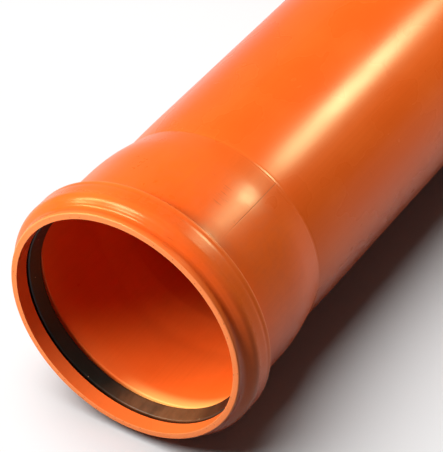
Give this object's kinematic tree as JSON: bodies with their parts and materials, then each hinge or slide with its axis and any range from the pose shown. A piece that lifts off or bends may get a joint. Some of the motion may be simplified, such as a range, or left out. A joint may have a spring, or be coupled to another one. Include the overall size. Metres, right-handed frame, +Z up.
{
  "type": "socketed polypropylene sewer pipe",
  "caption": "Lying orange plastic drain pipe with a belled socket, seal bead and black rubber lip ring, and a chamfered plain end.",
  "frame": {"origin": "centre of the socket's mouth, on the pipe's axis, in the plane of the end face", "axes": "+X runs along the pipe from the socket's mouth to the chamfered plain end, and +Z is up as the pipe lies"},
  "size_m": [1.084, 0.1836, 0.1836],
  "materials": {
    "orange_polypropylene": "satin, with fine extrusion lines along the barrel",
    "black_rubber": "lubricated satin"
  },
  "bodies": {
    "root": {"pipe": "orange_polypropylene", "sealing_ring": "black_rubber"}
  },
  "joints": []
}
